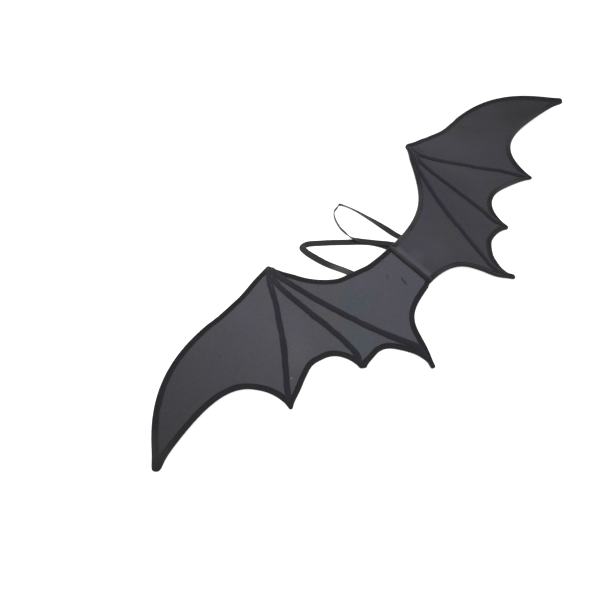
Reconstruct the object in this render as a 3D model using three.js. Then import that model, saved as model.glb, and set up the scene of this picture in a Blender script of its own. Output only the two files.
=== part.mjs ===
// Costume bat wings of cloth: two mirrored wings joined at a centre seam, with two elastic shoulder straps.
// Millimetres. X runs along the span, Y up the seam towards the straps, Z up from the surface they lie on.
// The pair lies outer side up. Its middle is tented over the straps, and its tips curl up a little.
import * as THREE from 'three';

// Driving dimensions
const SPAN = 800;
const HEIGHT = 260;
const SEAM_LENGTH = 75;
const CLOTH_THICKNESS = 1.5;
const BINDING_WIDTH = 7.5;
const BINDING_CLOTH = 1.2;
const BINDING_GRIP = 4;
const RIB_WIDTH = 6.5;
const RIB_HEIGHT = 1.8;
const SEAM_BAND_WIDTH = 8;
const SEAM_FOLD = 2;
const STRAP_WIDTH = 7.5;
const STRAP_THICKNESS = 1.4;
const STRAP_REACH = 104;
const CLEARANCE = 0.3;
const RIB_CLEARANCE = 0.4;

// How far the cloth stands off the surface
const SEAM_LIFT = 9;
const LEFT_TIP_LIFT = 30;
const RIGHT_TIP_LIFT = 25;
const RIGHT_SHOULDER_LIFT = 15;

// Fineness of the facets
const EDGE_STEP = 14;
const CLOTH_FACET = 20;
const STRAP_STEPS = 60;

// What follows from the driving dimensions
const HALF_SPAN = SPAN / 2;
const TENT_REACH = 0.28 * HALF_SPAN;
const CURL_START = 0.5 * HALF_SPAN;
const SHOULDER_REACH = 0.375 * HALF_SPAN;
const SLOT_HEIGHT = CLOTH_THICKNESS + 2 * CLEARANCE;
const BINDING_HEIGHT = 2 * BINDING_CLOTH + SLOT_HEIGHT;
const CLOTH_BOTTOM = BINDING_CLOTH + CLEARANCE;
const CLOTH_TOP = CLOTH_BOTTOM + CLOTH_THICKNESS;
const SLOT_INSET = BINDING_WIDTH - BINDING_GRIP;
const CLOTH_INSET = SLOT_INSET + CLEARANCE;
const BINDING_START = SEAM_BAND_WIDTH / 2 + CLEARANCE;

// Places on one wing are [across, up]: across as a share of half the span, up as a share of the height
const CORNERS = {
  shoulder: [0.375, 0.41],
  elbow: [0.64, 0.34],
  tip: [1, -0.062],
  outerPoint: [0.63, -0.258],
  middlePoint: [0.384, -0.36],
  innerPoint: [0.225, -0.59],
};

// Edge runs from the top of the seam round to its foot, each one cubic curve pulled towards two places
const EDGE_RUNS = [
  { from: 'seamTop', pull1: [0.28, 0], pull2: [0.262, 0.15], to: 'shoulder' },
  { from: 'shoulder', pull1: [0.44, 0.358], pull2: [0.55, 0.335], to: 'elbow' },
  { from: 'elbow', pull1: [0.775, 0.347], pull2: [0.94, 0.2], to: 'tip' },
  { from: 'tip', pull1: [0.824, 0.024], pull2: [0.658, 0.087], to: 'outerPoint' },
  { from: 'outerPoint', pull1: [0.54, -0.18], pull2: [0.396, -0.1], to: 'middlePoint' },
  { from: 'middlePoint', pull1: [0.31, -0.32], pull2: [0.208, -0.355], to: 'innerPoint' },
  { from: 'innerPoint', pull1: [0.142, -0.45], pull2: [0.2, -0.29], to: 'seamFoot' },
];

// Raised tapes that fan out from the shoulder like fingers, each one quadratic curve.
// They were sewn on by eye, so those of the two wings differ a little
const RIBS = {
  outer_left: { side: -1, from: [0.389, 0.33], pull: [0.472, 0.052], to: [0.604, -0.181] },
  outer_right: { side: 1, from: [0.386, 0.315], pull: [0.47, 0.035], to: [0.605, -0.181] },
  middle_left: { side: -1, from: [0.376, 0.2], pull: [0.371, -0.046], to: [0.371, -0.285] },
  middle_right: { side: 1, from: [0.374, 0.265], pull: [0.371, 0], to: [0.369, -0.285] },
  inner_left: { side: -1, from: [0.369, 0.3], pull: [0.337, -0.015], to: [0.204, -0.454] },
  inner_right: { side: 1, from: [0.357, 0.296], pull: [0.259, -0.067], to: [0.2, -0.454] },
};
const RIB_TAPER = [
  { along: 0, width: 0.45 },
  { along: 0.06, width: 1 },
  { along: 0.86, width: 1 },
  { along: 1, width: 0.3 },
];

// Routes of the straps as shares of their reach. turn is 0 where the band lies flat, 1 where it stands on
// edge and more where it leans over. sewn is 1 where it rises to the underside of the cloth, and lift is 1
// where it lies on the other strap
const LEFT_STRAP = [
  { across: 0, up: -0.15, turn: 0, sewn: 1, lift: 0 },
  { across: -0.01, up: -0.01, turn: 0, sewn: 0.3, lift: 0 },
  { across: -0.11, up: 0.22, turn: 0, sewn: 0, lift: 0 },
  { across: -0.38, up: 0.51, turn: 0, sewn: 0, lift: 0 },
  { across: -0.61, up: 0.712, turn: 0.05, sewn: 0, lift: 0 },
  { across: -0.78, up: 0.838, turn: 0.2, sewn: 0, lift: 0 },
  { across: -0.868, up: 0.832, turn: 0.4, sewn: 0, lift: 0 },
  { across: -0.896, up: 0.74, turn: 0.4, sewn: 0, lift: 0 },
  { across: -0.865, up: 0.61, turn: 0.25, sewn: 0, lift: 0 },
  { across: -0.79, up: 0.43, turn: 0.1, sewn: 0, lift: 0 },
  { across: -0.667, up: 0.155, turn: 0, sewn: 0, lift: 0 },
  { across: -0.58, up: -0.09, turn: 0, sewn: 0.5, lift: 0 },
  { across: -0.47, up: -0.32, turn: 0, sewn: 0.9, lift: 0 },
  { across: -0.27, up: -0.46, turn: 0, sewn: 1, lift: 0 },
];
const RIGHT_STRAP = [
  { across: 0.12, up: -0.15, turn: 0, sewn: 0.85, lift: 1 },
  { across: 0.055, up: 0, turn: 0, sewn: 0.65, lift: 1 },
  { across: -0.08, up: 0.235, turn: 0, sewn: 0, lift: 1 },
  { across: -0.2, up: 0.405, turn: 0.2, sewn: 0, lift: 1 },
  { across: -0.262, up: 0.54, turn: 0.75, sewn: 0, lift: 0.2 },
  { across: -0.262, up: 0.7, turn: 0.85, sewn: 0, lift: 0 },
  { across: -0.195, up: 0.88, turn: 0.95, sewn: 0, lift: 0 },
  { across: -0.13, up: 0.958, turn: 1, sewn: 0, lift: 0 },
  { across: -0.03, up: 0.985, turn: 1.1, sewn: 0, lift: 0 },
  { across: 0.015, up: 0.998, turn: 1.15, sewn: 0, lift: 0 },
  { across: 0.065, up: 0.915, turn: 1.3, sewn: 0, lift: 0 },
  { across: 0.11, up: 0.77, turn: 1.15, sewn: 0, lift: 0 },
  { across: 0.155, up: 0.54, turn: 0.85, sewn: 0, lift: 0 },
  { across: 0.2, up: 0.27, turn: 0.4, sewn: 0, lift: 0 },
  { across: 0.228, up: 0.11, turn: 0.05, sewn: 0.15, lift: 0 },
  { across: 0.26, up: -0.1, turn: 0, sewn: 0.7, lift: 0 },
  { across: 0.27, up: -0.48, turn: 0, sewn: 1, lift: 0 },
];

// Materials
const clothMaterial = new THREE.MeshStandardMaterial({ color: 0x55545a, roughness: 0.92, metalness: 0 });
const bindingMaterial = new THREE.MeshStandardMaterial({ color: 0x29282c, roughness: 0.9, metalness: 0 });
const strapMaterial = new THREE.MeshStandardMaterial({ color: 0x2e3131, roughness: 0.8, metalness: 0 });

// Height of the binding's underside over the surface, the relief that every cloth piece follows
function relief(x, y) {
  const tent = SEAM_LIFT * (1 - THREE.MathUtils.smoothstep(Math.abs(x), 0, TENT_REACH));
  const outward = Math.max(0, (Math.abs(x) - CURL_START) / (HALF_SPAN - CURL_START));
  const curl = (x < 0 ? LEFT_TIP_LIFT : RIGHT_TIP_LIFT) * outward * outward;
  const shoulder = place(CORNERS.shoulder);
  const away = Math.hypot(x - shoulder.x, y - shoulder.y) / SHOULDER_REACH;
  const raised = RIGHT_SHOULDER_LIFT * Math.max(0, 1 - away * away) ** 2;
  return tent + curl + raised;
}

function place([across, up]) {
  return new THREE.Vector2(across * HALF_SPAN, up * HEIGHT);
}

function cornerPoint(name) {
  if (name === 'seamTop') return new THREE.Vector2(BINDING_START, 0);
  if (name === 'seamFoot') return new THREE.Vector2(BINDING_START, -SEAM_LENGTH);
  return place(CORNERS[name]);
}

// Meshes

// Turns the faces outwards where a mirrored or reversed shape has them pointing in
function closedGeometry(points, triangles) {
  let volume = 0;
  for (const [a, b, c] of triangles) {
    volume += points[a].dot(new THREE.Vector3().crossVectors(points[b], points[c]));
  }
  const faces = volume > 0 ? triangles : triangles.map(([a, b, c]) => [a, c, b]);
  const geometry = new THREE.BufferGeometry();
  geometry.setFromPoints(points);
  geometry.setIndex(faces.flat());
  geometry.computeVertexNormals();
  return geometry;
}

// Joins equal rings of points into one closed body, with both ends capped by the triangles of the section
function sweptGeometry(rings, sectionOutline) {
  const size = sectionOutline.length;
  const triangles = [];
  for (let ring = 0; ring + 1 < rings.length; ring += 1) {
    for (let i = 0; i < size; i += 1) {
      const here = ring * size + i;
      const next = ring * size + ((i + 1) % size);
      triangles.push([here, next, next + size], [here, next + size, here + size]);
    }
  }
  const last = (rings.length - 1) * size;
  for (const [a, b, c] of capTriangles(sectionOutline)) {
    triangles.push([c, b, a], [last + a, last + b, last + c]);
  }
  return closedGeometry(rings.flat(), triangles);
}

// The section's triangles, in the same turning direction as its outline
function capTriangles(outline) {
  const triangles = THREE.ShapeUtils.triangulateShape(outline, []);
  return THREE.ShapeUtils.isClockWise(outline) ? triangles.map(([a, b, c]) => [a, c, b]) : triangles;
}

function namedMesh(name, geometry, material) {
  const mesh = new THREE.Mesh(geometry, material);
  mesh.name = name;
  return mesh;
}

// Edge of one wing

// Stations along the edge. Each holds an outer point and the inner point one binding width away
function edgeStations() {
  const curves = EDGE_RUNS.map((run) => new THREE.CubicBezierCurve(
    cornerPoint(run.from),
    place(run.pull1),
    place(run.pull2),
    cornerPoint(run.to),
  ));
  const stations = [];
  curves.forEach((curve, index) => {
    const mitres = [mitreBetween(curves[index - 1], curve), mitreBetween(curve, curves[index + 1])];
    const steps = Math.round(curve.getLength() / EDGE_STEP);
    const firstStep = index === 0 ? 0 : 1;
    for (let step = firstStep; step <= steps; step += 1) {
      stations.push(stationOn(curve, step / steps, mitres));
    }
  });
  return squareEnds(stations);
}

// The inward line that halves the corner between two runs, from their directions over a short stretch
function mitreBetween(before, after) {
  if (!before || !after) return null;
  const stretch = 3 * BINDING_WIDTH;
  const corner = after.getPointAt(0);
  const arriving = corner.clone().sub(before.getPointAt(1 - stretch / before.getLength())).normalize();
  const leaving = after.getPointAt(stretch / after.getLength()).sub(corner).normalize();
  const inward = inwardNormal(arriving).add(inwardNormal(leaving)).normalize();
  return { corner, inward, depth: BINDING_WIDTH / inward.dot(inwardNormal(leaving)) };
}

// The edge is walked with the wing's cloth on the right-hand side
function inwardNormal(tangent) {
  return new THREE.Vector2(tangent.y, -tangent.x);
}

function stationOn(curve, along, mitres) {
  const outer = curve.getPointAt(along);
  const inner = outer.clone().addScaledVector(inwardNormal(curve.getTangentAt(along)), BINDING_WIDTH);
  for (const mitre of mitres) {
    if (mitre) keepBeside(inner, outer, mitre);
  }
  return { outer, inner };
}

// Near a corner the inner points gather at the mitre's inner end, each just on its own side of the mitre line
function keepBeside(inner, outer, { corner, inward, depth }) {
  const distance = outer.distanceTo(corner);
  if (distance > 1.5 * depth) return;
  const aside = new THREE.Vector2(-inward.y, inward.x);
  if (outer.clone().sub(corner).dot(aside) < 0) aside.negate();
  const wanted = 0.02 * distance;
  if (distance > 0 && inner.clone().sub(corner).dot(aside) > wanted) return;
  inner.copy(corner).addScaledVector(inward, depth).addScaledVector(aside, wanted);
}

// Both ends of the binding stop square beside the seam band
function squareEnds(stations) {
  const top = stations[0];
  const foot = stations[stations.length - 1];
  top.inner.set(top.outer.x, top.outer.y - BINDING_WIDTH);
  foot.inner.set(foot.outer.x, foot.outer.y + BINDING_WIDTH);
  return stations;
}

function stationPoint(station, inset) {
  return station.outer.clone().lerp(station.inner, inset / BINDING_WIDTH);
}

function onRelief(point, side, height) {
  const x = side * point.x;
  return new THREE.Vector3(x, point.y, relief(x, point.y) + height);
}

// Folded tape that grips the cloth's edge between its two layers
function bindingSection() {
  const round = BINDING_CLOTH;
  return [
    { inset: 0, height: round },
    { inset: 0.8 * round, height: 0 },
    { inset: BINDING_WIDTH, height: 0 },
    { inset: BINDING_WIDTH, height: BINDING_CLOTH },
    { inset: SLOT_INSET, height: BINDING_CLOTH },
    { inset: SLOT_INSET, height: BINDING_CLOTH + SLOT_HEIGHT },
    { inset: BINDING_WIDTH, height: BINDING_CLOTH + SLOT_HEIGHT },
    { inset: BINDING_WIDTH, height: BINDING_HEIGHT },
    { inset: 0.8 * round, height: BINDING_HEIGHT },
    { inset: 0, height: BINDING_HEIGHT - round },
  ];
}

function edgeBinding(stations, side) {
  const section = bindingSection();
  const rings = stations.map((station) => (
    section.map(({ inset, height }) => onRelief(stationPoint(station, inset), side, height))
  ));
  const outline = section.map(({ inset, height }) => new THREE.Vector2(inset, height));
  return sweptGeometry(rings, outline);
}

// Cloth between the bindings, from the fold of the seam band to the tip

function clothOutline(stations) {
  const outline = stations.map((station) => stationPoint(station, CLOTH_INSET));
  const seamSide = SEAM_FOLD / 2 + CLEARANCE;
  const top = -CLOTH_INSET;
  const foot = CLOTH_INSET - SEAM_LENGTH;
  const rows = Math.ceil((top - foot) / EDGE_STEP);
  for (let row = rows; row >= 0; row -= 1) {
    outline.push(new THREE.Vector2(seamSide, THREE.MathUtils.lerp(top, foot, row / rows)));
  }
  return outline;
}

// Splits every long side of the triangles at its middle until none is longer than a facet
function refine(points, triangles) {
  const middles = new Map();
  const middle = (a, b) => {
    const key = a < b ? `${a} ${b}` : `${b} ${a}`;
    if (!middles.has(key)) {
      middles.set(key, points.length);
      points.push(points[a].clone().lerp(points[b], 0.5));
    }
    return middles.get(key);
  };
  const pending = triangles.map((triangle) => [...triangle]);
  const done = [];
  while (pending.length > 0) {
    const [a, b, c] = longestSideFirst(points, pending.pop());
    if (points[a].distanceTo(points[b]) <= CLOTH_FACET) {
      done.push([a, b, c]);
    } else {
      const m = middle(a, b);
      pending.push([a, m, c], [m, b, c]);
    }
  }
  return done;
}

// Turns a triangle so that its first two corners end its longest side
function longestSideFirst(points, [a, b, c]) {
  const turns = [[a, b, c], [b, c, a], [c, a, b]];
  const side = ([from, to]) => points[from].distanceTo(points[to]);
  return turns.reduce((best, turn) => (side(turn) > side(best) ? turn : best));
}

function wingCloth(stations, side) {
  const points = clothOutline(stations);
  const faces = refine(points, THREE.ShapeUtils.triangulateShape(points, []));
  const bottom = points.map((point) => onRelief(point, side, CLOTH_BOTTOM));
  const top = points.map((point) => onRelief(point, side, CLOTH_TOP));
  const count = points.length;
  const triangles = [];
  for (const [a, b, c] of faces) {
    triangles.push([c, b, a], [a + count, b + count, c + count]);
  }
  for (const [from, to] of openSides(faces)) {
    triangles.push([from, to, to + count], [from, to + count, from + count]);
  }
  return closedGeometry([...bottom, ...top], triangles);
}

// Sides that only one triangle has, in that triangle's direction
function openSides(faces) {
  const sides = new Map();
  for (const [a, b, c] of faces) {
    for (const [from, to] of [[a, b], [b, c], [c, a]]) sides.set(`${from} ${to}`, [from, to]);
  }
  return [...sides.values()].filter(([from, to]) => !sides.has(`${to} ${from}`));
}

// Ribs

function ribGeometry(rib) {
  const curve = new THREE.QuadraticBezierCurve(place(rib.from), place(rib.pull), place(rib.to));
  const outline = ribSection().map(({ aside, height }) => new THREE.Vector2(aside, height));
  const steps = Math.round(curve.getLength() / EDGE_STEP);
  const marks = RIB_TAPER.map(({ along }) => along);
  for (let step = 1; step < steps; step += 1) marks.push(step / steps);
  const rings = [...new Set(marks)].sort((a, b) => a - b).map((along) => ribRing(curve, along, rib.side));
  return sweptGeometry(rings, outline);
}

// A low dome, flat underneath, with its half width as 1
function ribSection() {
  return [
    { aside: -1, height: 0 },
    { aside: 1, height: 0 },
    { aside: 1, height: 0.5 * RIB_HEIGHT },
    { aside: 0.5, height: RIB_HEIGHT },
    { aside: -0.5, height: RIB_HEIGHT },
    { aside: -1, height: 0.5 * RIB_HEIGHT },
  ];
}

function ribRing(curve, along, side) {
  const centre = curve.getPointAt(along);
  const halfWidth = 0.5 * RIB_WIDTH * ribWidthShare(along);
  const normal = inwardNormal(curve.getTangentAt(along));
  return ribSection().map(({ aside, height }) => {
    const point = centre.clone().addScaledVector(normal, aside * halfWidth);
    return onRelief(point, side, CLOTH_TOP + RIB_CLEARANCE + height);
  });
}

function ribWidthShare(along) {
  const next = RIB_TAPER.findIndex((mark) => mark.along >= along);
  if (next === 0) return RIB_TAPER[0].width;
  const [a, b] = [RIB_TAPER[next - 1], RIB_TAPER[next]];
  return THREE.MathUtils.mapLinear(along, a.along, b.along, a.width, b.width);
}

// Seam band: tape folded through the seam, over and under the edges of both wings' cloth

function seamBand() {
  const half = SEAM_BAND_WIDTH / 2;
  const fold = SEAM_FOLD / 2;
  const low = BINDING_CLOTH;
  const high = BINDING_CLOTH + SLOT_HEIGHT;
  const rightSide = [
    [half, 0],
    [half, low],
    [fold, low],
    [fold, high],
    [half, high],
    [half, BINDING_HEIGHT],
    [0.5 * half, BINDING_HEIGHT + 0.5 * BINDING_CLOTH],
  ];
  const leftSide = rightSide.map(([x, z]) => [-x, z]).reverse();
  const outline = [...rightSide, ...leftSide].map(([x, z]) => new THREE.Vector2(x, z));
  const geometry = new THREE.ExtrudeGeometry(new THREE.Shape(outline), {
    depth: SEAM_LENGTH,
    bevelEnabled: false,
  });
  const mesh = namedMesh('seam_band', geometry, bindingMaterial);
  mesh.rotation.x = Math.PI / 2;
  mesh.position.set(0, 0, relief(0, 0));
  return mesh;
}

// Straps

function strapGeometry(route) {
  const places = route.map(({ across, up }) => new THREE.Vector3(across * STRAP_REACH, up * STRAP_REACH, 0));
  const curve = new THREE.CatmullRomCurve3(places, false, 'centripetal');
  const lay = new THREE.SplineCurve(route.map(({ turn, sewn }) => new THREE.Vector2(turn, sewn)));
  const lifts = new THREE.SplineCurve(route.map(({ lift }) => new THREE.Vector2(lift, 0)));
  const half = { width: STRAP_WIDTH / 2, thickness: STRAP_THICKNESS / 2 };
  const rectangle = [[-1, -1], [1, -1], [1, 1], [-1, 1]];
  const rings = [];
  for (let step = 0; step <= STRAP_STEPS; step += 1) {
    const along = step / STRAP_STEPS;
    const { x: turn, y: sewn } = lay.getPoint(along);
    const state = { turn, sewn, lift: lifts.getPoint(along).x };
    const frame = strapFrame(curve.getPoint(along), curve.getTangent(along), state, half);
    rings.push(rectangle.map(([a, b]) => (
      frame.centre.clone()
        .addScaledVector(frame.wide, a * half.width)
        .addScaledVector(frame.thick, b * half.thickness)
    )));
  }
  return sweptGeometry(rings, rectangle.map(([a, b]) => new THREE.Vector2(a, b)));
}

// Centre and cross directions of the band, lying on the surface or the other strap, or rising to the cloth
function strapFrame(point, tangent, state, half) {
  const turn = Math.max(0, state.turn) * Math.PI / 2;
  const sewn = THREE.MathUtils.clamp(state.sewn, 0, 1);
  const lift = THREE.MathUtils.clamp(state.lift, 0, 1) * (STRAP_THICKNESS + CLEARANCE);
  const along = tangent.clone().setZ(0).normalize();
  const level = new THREE.Vector3(-along.y, along.x, 0);
  const up = new THREE.Vector3(0, 0, 1);
  const wide = level.clone().multiplyScalar(Math.cos(turn)).addScaledVector(up, Math.sin(turn));
  const thick = new THREE.Vector3().crossVectors(along, wide);
  const lying = half.width * Math.sin(turn) + half.thickness * Math.abs(Math.cos(turn)) + lift;
  const underCloth = relief(point.x, point.y) - CLEARANCE - half.thickness;
  const centre = point.clone().setZ(THREE.MathUtils.lerp(lying, Math.max(lying, underCloth), sewn));
  return { centre, wide, thick };
}

// Assembly, with the middle of its box at the origin and its lowest cloth at height zero
const wings = new THREE.Group();
const stations = edgeStations();
for (const [hand, side] of [['left', -1], ['right', 1]]) {
  wings.add(namedMesh(`wing_cloth_${hand}`, wingCloth(stations, side), clothMaterial));
  wings.add(namedMesh(`edge_binding_${hand}`, edgeBinding(stations, side), bindingMaterial));
}
for (const [name, rib] of Object.entries(RIBS)) {
  wings.add(namedMesh(`rib_${name}`, ribGeometry(rib), bindingMaterial));
}
wings.add(seamBand());
wings.add(namedMesh('strap_left', strapGeometry(LEFT_STRAP), strapMaterial));
wings.add(namedMesh('strap_right', strapGeometry(RIGHT_STRAP), strapMaterial));
wings.position.y = -0.5 * (place(CORNERS.shoulder).y + place(CORNERS.innerPoint).y);

export default wings;
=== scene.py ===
"""Costume bat wings of cloth: fine pieces, materials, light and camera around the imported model.
Shapes are worked out in millimetres from the top of the seam, and turn into metres when a mesh is made."""
import math

import bpy
import numpy as np
from mathutils import Matrix, Vector
from mathutils.geometry import delaunay_2d_cdt


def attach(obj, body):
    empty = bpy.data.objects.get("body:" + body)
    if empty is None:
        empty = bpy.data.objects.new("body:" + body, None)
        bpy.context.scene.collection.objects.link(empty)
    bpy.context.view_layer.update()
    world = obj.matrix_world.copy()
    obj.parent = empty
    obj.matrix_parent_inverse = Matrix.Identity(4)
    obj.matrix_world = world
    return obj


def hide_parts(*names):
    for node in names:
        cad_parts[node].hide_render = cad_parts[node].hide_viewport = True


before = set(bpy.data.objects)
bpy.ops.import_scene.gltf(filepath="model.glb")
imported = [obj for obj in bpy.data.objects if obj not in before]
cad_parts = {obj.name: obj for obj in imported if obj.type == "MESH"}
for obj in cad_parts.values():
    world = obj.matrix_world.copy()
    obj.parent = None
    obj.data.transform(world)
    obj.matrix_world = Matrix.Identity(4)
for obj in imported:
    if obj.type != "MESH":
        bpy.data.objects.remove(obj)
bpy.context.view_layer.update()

MM = 0.001

# Sizes of the solid model
SPAN = 800
HEIGHT = 260
SEAM_LENGTH = 75
CLOTH_THICKNESS = 1.5
BINDING_WIDTH = 7.5
BINDING_CLOTH = 1.2
BINDING_GRIP = 4
RIB_WIDTH = 6.5
RIB_HEIGHT = 1.8
SEAM_BAND_WIDTH = 8
SEAM_FOLD = 2
STRAP_WIDTH = 7.5
STRAP_THICKNESS = 1.4
STRAP_REACH = 104
CLEARANCE = 0.3
SEAM_LIFT = 9
TIP_LIFT = {-1: 30, 1: 25}
RIGHT_SHOULDER_LIFT = 15

HALF_SPAN = SPAN / 2
TENT_REACH = 0.28 * HALF_SPAN
CURL_START = 0.5 * HALF_SPAN
SHOULDER_REACH = 0.375 * HALF_SPAN
SLOT_HEIGHT = CLOTH_THICKNESS + 2 * CLEARANCE
BINDING_HEIGHT = 2 * BINDING_CLOTH + SLOT_HEIGHT
CLOTH_BOTTOM = BINDING_CLOTH + CLEARANCE
CLOTH_TOP = CLOTH_BOTTOM + CLOTH_THICKNESS
CLOTH_INSET = BINDING_WIDTH - BINDING_GRIP + CLEARANCE
BINDING_START = SEAM_BAND_WIDTH / 2 + CLEARANCE

# Fineness of the meshes
STATION_STEP = 1.0
CLOTH_STEP = 3.2
STRAP_STEP = 0.8

# Sewing
STITCH_PITCH = 3.6
STITCH_LENGTH = 2.5
THREAD_RADIUS = 0.24

SIDES = {"left": -1, "right": 1}

# Seeds of the random draws
SEEDS = {"left": 100, "right": 200, "relief": 11, "seam": 71, "dark_threads": 31, "lint_and_glints": 32}

# Low waves of the whole, in millimetres
WAVE_HEIGHT = 0.35
WAVE_SIZE = 46

# Relief of the cloth off its seams, in millimetres: billows between the tapes, and puckers beside them
BILLOW_HEIGHT = 1.1
BILLOW_REACH = 15
PUCKER_HEIGHT = 0.16
PUCKER_REACH = 3
PUCKER_PITCH = 8

# How the sewn tapes waver along their length: by how much, and over how many millimetres
WAVERS = {
    "binding_swell": {"by": 0.045, "over": 9},
    "binding_wander": {"by": 0.35, "over": 13},
    "rib_wander": {"by": 0.45, "over": 19},
    "rib_edge": {"by": 0.1, "over": 8},
    "rib_height": {"by": 0.14, "over": 10},
    "seam_wander": {"by": 0.35, "over": 14},
    "seam_swell": {"by": 0.06, "over": 8},
}

# Places on one wing are (across, up): shares of half the span and of the height
SHOULDER = (0.375, 0.41)
ELBOW = (0.64, 0.34)
TIP = (1, -0.062)
OUTER_POINT = (0.63, -0.258)
MIDDLE_POINT = (0.384, -0.36)
INNER_POINT = (0.225, -0.59)
SEAM_TOP = (BINDING_START / HALF_SPAN, 0)
SEAM_FOOT = (BINDING_START / HALF_SPAN, -SEAM_LENGTH / HEIGHT)

# Places that lie a little off on one wing only
LEFT_SHOULDER = (0.366, 0.389)
RIGHT_OUTER_POINT = (0.634, -0.269)
RIGHT_MIDDLE_POINT = (0.381, -0.372)
RIGHT_INNER_POINT = (0.23, -0.575)


def edge_runs(shoulder, outer_point, middle_point, inner_point):
    """Control points of the curves round one wing, from the seam's top to its foot."""
    return {
        "top": (SEAM_TOP, (0.28, 0), (0.262, 0.15), shoulder),
        "leading_inner": (shoulder, (0.44, 0.358), (0.55, 0.335), ELBOW),
        "leading_outer": (ELBOW, (0.775, 0.347), (0.94, 0.2), TIP),
        "trailing_outer": (TIP, (0.824, 0.024), (0.658, 0.087), outer_point),
        "trailing_middle": (outer_point, (0.54, -0.18), (0.396, -0.1), middle_point),
        "trailing_inner": (middle_point, (0.31, -0.32), (0.208, -0.355), inner_point),
        "foot": (inner_point, (0.142, -0.45), (0.2, -0.29), SEAM_FOOT),
    }


EDGE_RUNS = {
    "left": edge_runs(LEFT_SHOULDER, OUTER_POINT, MIDDLE_POINT, INNER_POINT),
    "right": edge_runs(SHOULDER, RIGHT_OUTER_POINT, RIGHT_MIDDLE_POINT, RIGHT_INNER_POINT),
}

# Where the cloth's edge stands out from its curve: at a share of the run, over a reach to each side, and by
# how many millimetres. Swells die out over the last share of a run
SWELL_END = 0.06
EDGE_SWELLS = {
    "left": {
        "top": [
            {"at": 0.34, "reach": 0.14, "out": 2.4},
            {"at": 0.74, "reach": 0.24, "out": -3.0},
            {"at": 0.9, "reach": 0.13, "out": -2.0},
        ],
        "leading_inner": [
            {"at": 0.28, "reach": 0.3, "out": 2.0},
            {"at": 0.68, "reach": 0.3, "out": 0.9},
        ],
        "leading_outer": [{"at": 0.5, "reach": 0.42, "out": 3.3}],
        "trailing_outer": [{"at": 0.88, "reach": 0.16, "out": -1.5}],
        "trailing_middle": [
            {"at": 0.2, "reach": 0.16, "out": 1.6},
            {"at": 0.45, "reach": 0.12, "out": -1.8},
        ],
        "trailing_inner": [
            {"at": 0.17, "reach": 0.13, "out": 1.3},
            {"at": 0.57, "reach": 0.24, "out": 3.1},
            {"at": 0.9, "reach": 0.12, "out": -1.2},
        ],
        "foot": [{"at": 0.8, "reach": 0.36, "out": 3.0}],
    },
    "right": {
        "top": [
            {"at": 0.44, "reach": 0.46, "out": 3.9},
            {"at": 0.95, "reach": 0.12, "out": -1.9},
        ],
        "leading_inner": [
            {"at": 0.28, "reach": 0.12, "out": 0.9},
            {"at": 0.7, "reach": 0.26, "out": -1.5},
        ],
        "leading_outer": [{"at": 0.42, "reach": 0.5, "out": 5.8}],
        "trailing_outer": [{"at": 0.4, "reach": 0.34, "out": 1.7}],
        "trailing_middle": [{"at": 0.3, "reach": 0.22, "out": 1.1}],
        "trailing_inner": [
            {"at": 0.5, "reach": 0.16, "out": 1.5},
            {"at": 0.82, "reach": 0.16, "out": -2.2},
            {"at": 0.93, "reach": 0.13, "out": -1.3},
        ],
        "foot": [
            {"at": 0.2, "reach": 0.16, "out": 1.3},
            {"at": 0.44, "reach": 0.56, "out": 4.6},
        ],
    },
}

# Each rib runs from its root under the binding of the shoulder, along its curve, to its end in a point of
# the wing. over is how far it rides over the rib beneath it at the root
RIBS = {
    "rib_outer_left": {
        "root": (0.373, 0.362),
        "curve": [(0.396, 0.325), (0.472, 0.062), (0.604, -0.181)],
        "end": (0.62, -0.23),
        "over": 0,
    },
    "rib_outer_right": {
        "root": (0.381, 0.382),
        "curve": [(0.38, 0.31), (0.402, 0.172), (0.546, 0.038), (0.606, -0.178)],
        "end": (0.623, -0.24),
        "over": 0,
    },
    "rib_middle_left": {
        "root": (0.368, 0.36),
        "curve": [(0.385, 0.3), (0.401, 0.18), (0.361, -0.02), (0.362, -0.285)],
        "end": (0.379, -0.337),
        "over": 0,
    },
    "rib_middle_right": {
        "root": (0.377, 0.38),
        "curve": [(0.362, 0.3), (0.34, 0.16), (0.401, -0.06), (0.367, -0.285)],
        "end": (0.377, -0.348),
        "over": 0,
    },
    "rib_inner_left": {
        "root": (0.365, 0.358),
        "curve": [(0.364, 0.3), (0.336, 0.096), (0.299, -0.164), (0.204, -0.454)],
        "end": (0.214, -0.54),
        "over": 1.1,
    },
    "rib_inner_right": {
        "root": (0.372, 0.378),
        "curve": [(0.352, 0.3), (0.285, 0.15), (0.29, -0.06), (0.24, -0.24), (0.2, -0.454)],
        "end": (0.214, -0.54),
        "over": 1.1,
    },
}
# Width of a rib at shares of its length, and how much wider the sewn ribs are than the solid ones
RIB_TAPER = [(0, 0.75), (0.04, 1), (0.93, 1), (1, 0.5)]
RIB_FULLNESS = {"left": 1.27, "right": 1.16}

# How far along a rib starts to come down from the one beneath it, and where it is down
RIB_DOWN = (18, 42)

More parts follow.
